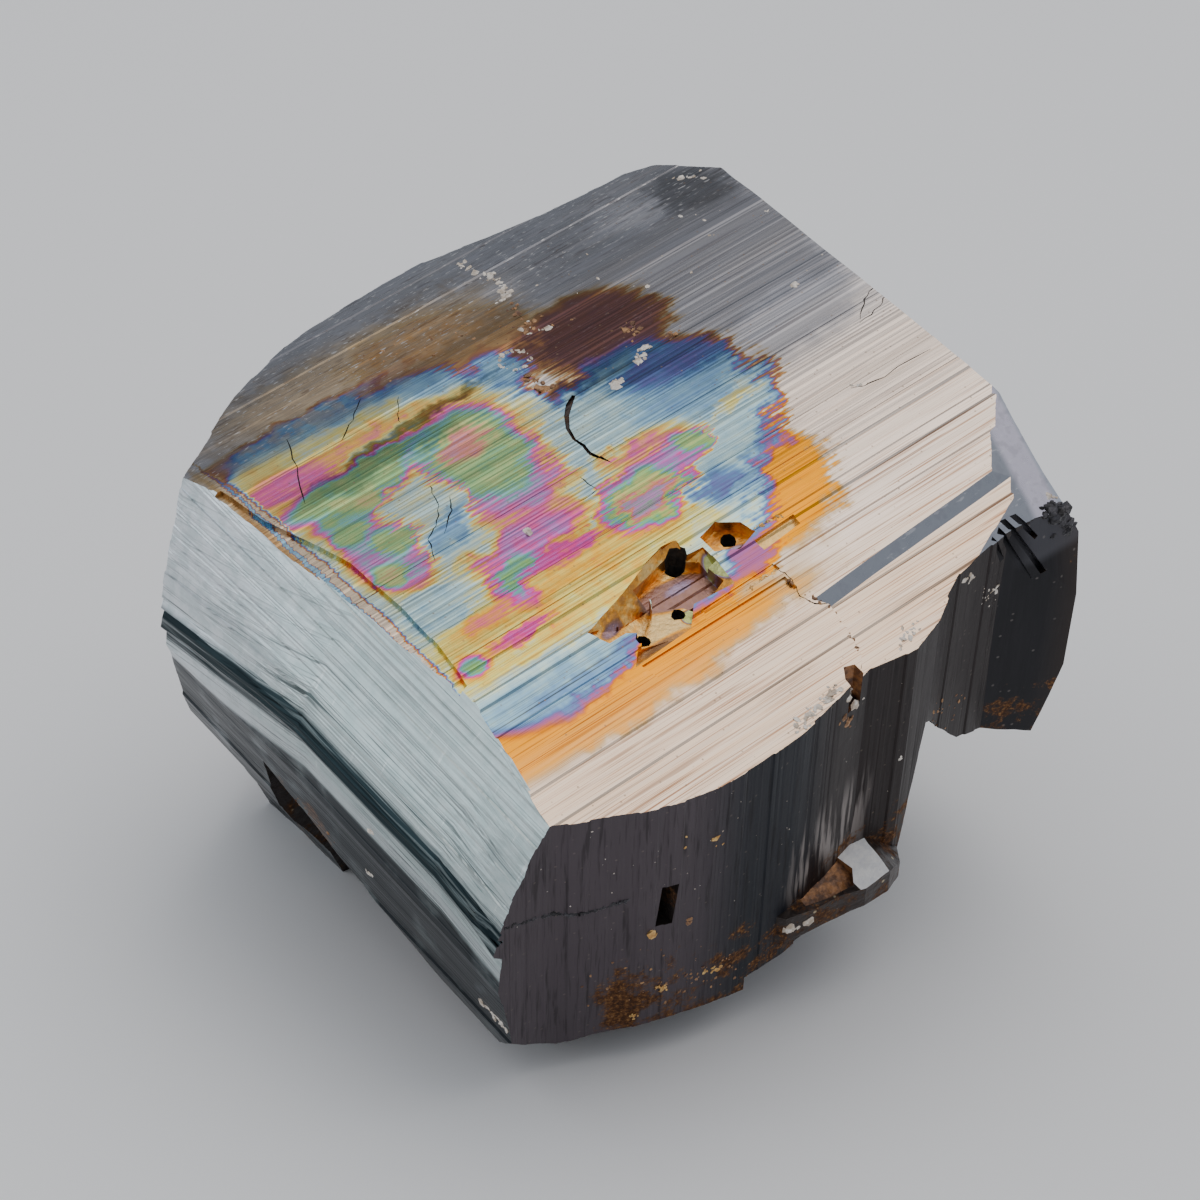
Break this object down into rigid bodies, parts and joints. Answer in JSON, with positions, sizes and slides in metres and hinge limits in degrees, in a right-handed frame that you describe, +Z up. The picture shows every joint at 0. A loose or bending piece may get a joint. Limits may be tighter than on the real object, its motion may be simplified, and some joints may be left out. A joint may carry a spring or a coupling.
{
  "type": "pyrite crystal",
  "caption": "Rounded, striated metallic crystal block with a smaller crystal grown onto one end, resting tilted on its broken underside",
  "frame": {"origin": "Middle of the bounding box at the level of the surface that the crystal rests on", "axes": "+Z up from the resting surface; the lines of the top face run close to +X and rise away from the resting surface; the broad front face looks towards -Y"},
  "size_m": [0.0456, 0.0476, 0.0376],
  "materials": {
    "pyrite": "metallic crystal faces with fine parallel lines and a rainbow tarnish"
  },
  "bodies": {
    "root": {"pyrite_crystal": "pyrite"}
  },
  "joints": []
}
